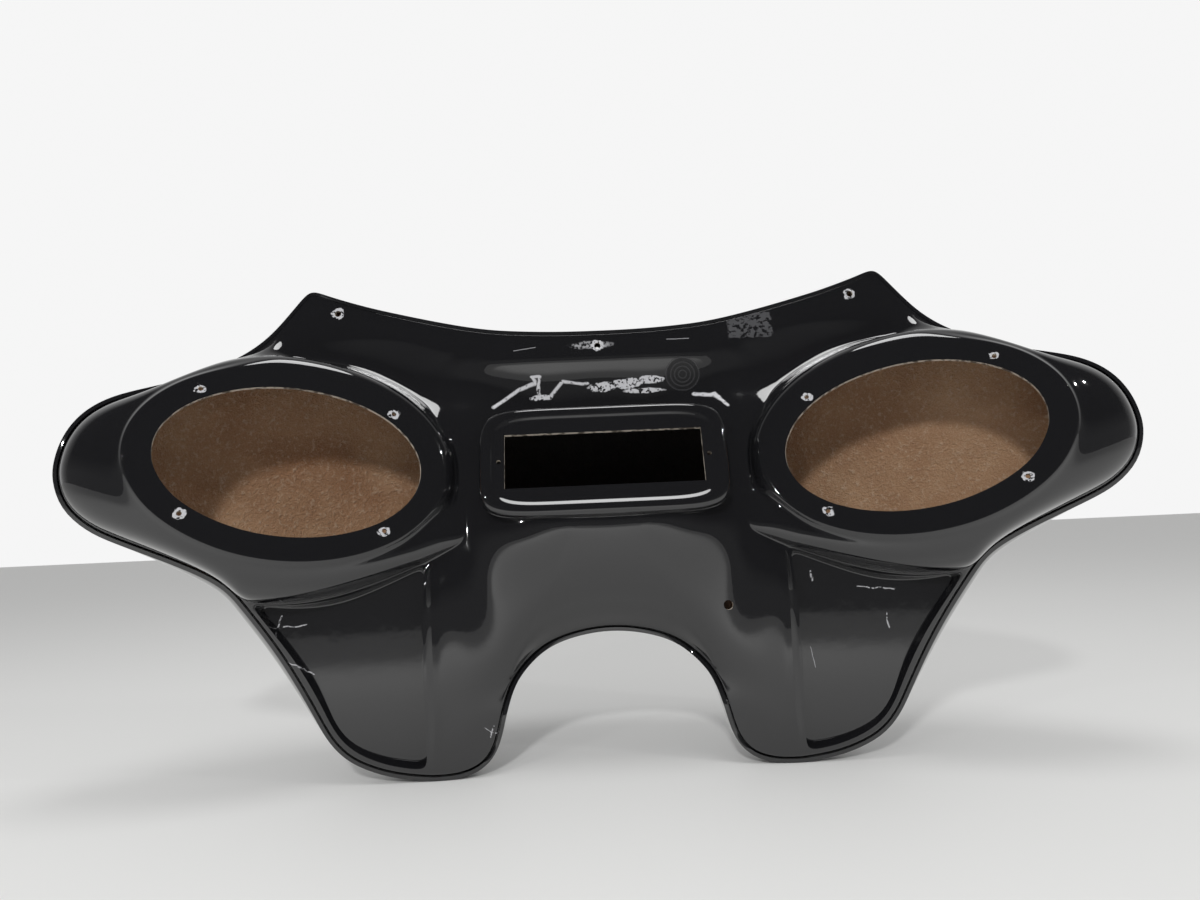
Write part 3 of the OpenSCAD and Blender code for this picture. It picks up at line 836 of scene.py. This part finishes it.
SCRATCHES = [((-84, 116), (-62, 119)), ((70, 122), (92, 122)), ((-352, 4), (-340, 1)),
             ((180, -180), (183, -198))]
SCRAPE = (-6, 119, 24, 5)
PATCH, PATCH_HALF = (154, 133), (25, 15)
BUTTON, BUTTON_R, BUTTON_RINGS = (84, 86), 16, (4, 8, 12, 16.5)

# colours of the surfaces
BLACK = (0.007, 0.007, 0.008, 1)
SCUFFED = (0.08, 0.08, 0.085, 1)
PASTE = (0.5, 0.5, 0.52, 1)
MIDDLE_NEAR_BLACK = (0.006, 0.006, 0.006, 1)
# the mat's third colour, for its pale flecks, is a painted glint
BROWN, LIGHT_BROWN, PAINTED_GLINT_TONE = (0.37, 0.20, 0.11, 1), (0.60, 0.39, 0.24, 1), (0.72, 0.56, 0.42, 1)
CUT_DARK, CUT_PALE = (0.12, 0.1, 0.08, 1), (0.62, 0.56, 0.48, 1)
FLOOR_GREY = (0.76, 0.76, 0.75, 1)
WHITE = (1, 1, 1, 1)


class Marks:
    def __init__(self, m):
        axes = m.axes()
        self.x, self.z = axes[0] * MM_PER_METRE, axes[2] * MM_PER_METRE
        self.ragged = (m.noise(150.0, 3.0) - 0.5) * 9
        self.wobble = (m.noise(55.0, 2.0) - 0.5) * 14

    # distance from a spot, or from its mirror image too
    def spot(self, x, z, w=1, h=1, both=False):
        u = ((self.x.size() if both else self.x) - x) / w
        v = (self.z - z) / h
        return (u * u + v * v) ** 0.5

    # distance from a line between two points
    def line(self, a, b, wobble):
        dx, dz = self.x - a[0] + wobble, self.z - a[1] + wobble
        ex, ez = b[0] - a[0], b[1] - a[1]
        t = ((dx * ex + dz * ez) * (1 / (ex * ex + ez * ez))).clip()
        u, v = dx - t * ex, dz - t * ez
        return (u * u + v * v) ** 0.5

    def nearest_line(self, lines, wobble):
        return nearest([self.line(a, b, wobble) for a, b in lines])


def nearest(distances):
    out = distances[0]
    for d in distances[1:]:
        out = out.at_most(d)
    return out


def plain_gelcoat():
    m = Surface("plain_black_gelcoat")
    peel, dust = m.noise(60.0, 2.0), m.noise(14.0, 4.0)
    return m.shade(Base_Color=BLACK, Roughness=0.03 + dust * 0.05, Coat_Weight=1.0,
                   Coat_Roughness=0.03, Normal=m.bump(peel, 0.06, 0.0012))


def gelcoat():
    m = Surface("gloss_black_gelcoat")
    k = Marks(m)
    peel, dust, grain = m.noise(60.0, 2.0), m.noise(14.0, 3.0), m.noise(420.0, 2.0)
    paste = 1 - k.nearest_line(RESIDUE, k.wobble * 0.5).above(1.0, 1.2)
    blobs = 1 - (nearest([k.spot(*b) for b in BLOBS]) + k.ragged * 0.09).above(0.8, 0.12)
    paste = paste.at_least(blobs * grain.above(0.4, 0.06)) * grain.above(0.32, 0.08)
    cracks = 1 - k.nearest_line(CRACKS, k.wobble * 0.7).above(0.3, 0.5)
    cracks = cracks * grain.above(0.4, 0.1)
    scratch = 1 - k.nearest_line(SCRATCHES, k.ragged * 0.15).above(0.12, 0.35)

    # chipped round the holes
    screws = [ring_place(a, b, 0) for a, b in SCREWS]
    holes = nearest([k.spot(abs(x), z, both=True) - 1.6 for x, z in WINDSHIELD[:2]]
                    + [k.spot(q.x, q.z, both=True) for q in screws])
    chips = (1 - (holes + k.ragged * 0.9).above(4.2, 0.5)) * grain.above(0.38, 0.08)
    worn = 1 - (k.spot(*SCRAPE) + k.ragged * 0.06).above(0.7, 0.25)
    worn = worn * grain.above(0.42, 0.1)

    # sanded patch and glued button on the flange and below it
    patch_u, patch_v = [(axis - middle).size() / half
                        for axis, middle, half in zip((k.x, k.z), PATCH, PATCH_HALF)]
    rough = 1 - (patch_u.at_least(patch_v) + k.ragged * 0.03).above(0.85, 0.05)
    rough = rough * m.noise(260.0, 2.0).above(0.4, 0.1)
    button = k.spot(*BUTTON)
    rings = 1 - nearest([(button - r).size() for r in BUTTON_RINGS]).above(0.3, 0.7)

    pale = paste.at_least(cracks * 0.8).at_least(scratch * 0.6)
    pale = pale.at_least(chips * 0.9).at_least(worn * 0.5)
    matt = pale.at_least(rough * 0.9).at_least(1 - button.above(BUTTON_R, 1))
    colour = m.tint((rough * 0.7).at_least(rings * 0.25), m.tint(pale, BLACK, PASTE), SCUFFED)
    height = peel * 0.25 + pale * 0.6 + rough * 0.8 + rings * 0.7
    return m.shade(Base_Color=colour, Roughness=(0.03 + dust * 0.05 + matt * 0.35).at_most(0.8),
                   Coat_Weight=1 - matt, Coat_Roughness=0.03,
                   Normal=m.bump(height, 0.25, 0.0012))


# the back is brown, and near black round the middle
def raw_mat():
    m = Surface("raw_brown_fibreglass_mat")
    fine, crinkle = m.noise(600.0, 2.0), m.noise(230.0, 5.0, rough=0.7)
    broad = m.noise(9.0, 3.0)
    colour = m.tint(broad.above(0.35, 0.35), BROWN, LIGHT_BROWN)
    # pale flecks on the crinkle's peaks are painted glints
    colour = m.tint(crinkle.above(0.53, 0.12) * 0.5, colour, PAINTED_GLINT_TONE)
    # the colour turns near black within about 112 mm of the middle
    dark = 1 - (m.axes()[0].size() * MM_PER_METRE).above(112, 45)
    colour = m.tint(dark, colour, MIDDLE_NEAR_BLACK)
    return m.shade(Base_Color=colour, Roughness=0.22 + dark * 0.5 + fine * 0.1,
                   Normal=m.bump(fine * 0.5 + crinkle, 1.0, 0.004))


def cut_edge():
    m = Surface("cut_laminate_edge")
    chip = m.noise(160.0, 3.0).above(0.42, 0.1)
    return m.shade(Base_Color=m.tint(chip, CUT_DARK, CUT_PALE), Roughness=0.6)


looks = [gelcoat(), raw_mat(), cut_edge()]
shell_looks = [plain_gelcoat()] + looks[1:]
panel = finished(closed_mesh("rider_side_panel", panel_cage(), looks), panel_holes())
shell = finished(closed_mesh("front_shell", shell_cage(), shell_looks), shell_holes())
for piece, node in ((panel, "inner_panel"), (shell, "outer_shell")):
    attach(piece, "root")
    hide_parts(node)

# floor, light and camera
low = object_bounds()[0].z


def stage_floor():
    bm = bmesh.new()
    bmesh.ops.create_grid(bm, x_segments=1, y_segments=1, size=14)
    bmesh.ops.translate(bm, verts=bm.verts[:], vec=(0, 0, low))
    floor = show(new_object("floor", bm))
    look = Surface("pale_floor").shade(Base_Color=FLOOR_GREY, Roughness=0.6)
    floor.data.materials.append(look)
    return floor


def lamp(name, place, target, size, power):
    data = bpy.data.lights.new(name, "AREA")
    data.shape, data.size, data.energy = "DISK", size, power
    obj = bpy.data.objects.new(name, data)
    obj.location = place
    obj.rotation_euler = (Vector(target) - Vector(place)).to_track_quat("-Z", "Y").to_euler()
    return show(obj)


stage_floor()
lamp("soft top", (0.1, -0.3, 2.4), (0, 0, 0), 1.0, 14)
# lights the mouldings' insides without a glare on the flat rings
lamp("lamp ahead", (-0.35, -2.0, 1.05), (0, 0, 0), 0.2, 22).visible_glossy = False
lamp("lamp left", (-1.3, -1.7, 0.9), (-0.3, 0, 0), 0.05, 3)
lamp("lamp right", (1.8, -1.2, 1.6), (0.3, 0, 0), 0.05, 4)

# the room as the camera sees it, as it lights the part, and as the gloss mirrors it
SEEN, LIT = 0.92, 0.6
MIRRORED, MIRRORED_BEHIND, MIRRORED_ABOVE, MIRRORED_LEAST = 0.62, 0.5, 0.25, 0.04
world = bpy.data.worlds.new("pale room")
bpy.context.scene.world = world
world.use_nodes = True
room = Nodes(world.node_tree)
camera_ray = room.node("LightPath", output="Is Camera Ray")
glossy_ray = room.node("LightPath", output="Is Glossy Ray")
ahead, up = room.axes("Generated")[1:]
behind_camera = 1 - ahead.above(-0.2, 0.5)
mirrored = MIRRORED - behind_camera * MIRRORED_BEHIND - up.above(0.15, 0.6) * MIRRORED_ABOVE
unseen = glossy_ray * mirrored.at_least(MIRRORED_LEAST) + (1 - glossy_ray) * LIT
strength = camera_ray * SEEN + (1 - camera_ray) * unseen
room.end("World", room.node("Background", inputs={"Color": WHITE, "Strength": strength}))

# the photo's view
EYE = (-0.0195, -0.7551, -0.064)
YAW, PITCH, ROLL = [math.radians(a) for a in (-1.22, 5.37, 2.58)]
view = bpy.data.cameras.new("photo view")
view.sensor_width = 36.0
view.lens = 24.9
eye = show(bpy.data.objects.new("photo view", view))
turn = (Matrix.Rotation(YAW, 3, "Z") @ Matrix.Rotation(PITCH, 3, "X")
        @ Matrix.Rotation(ROLL, 3, "Y"))
right, ahead_axis, up_axis = turn.col[0], turn.col[1], turn.col[2]
basis = Matrix((right, up_axis, -ahead_axis)).transposed().to_4x4()
eye.matrix_world = Matrix.Translation(EYE) @ basis
bpy.context.scene.camera = eye
bpy.context.scene.view_settings.view_transform = "Standard"
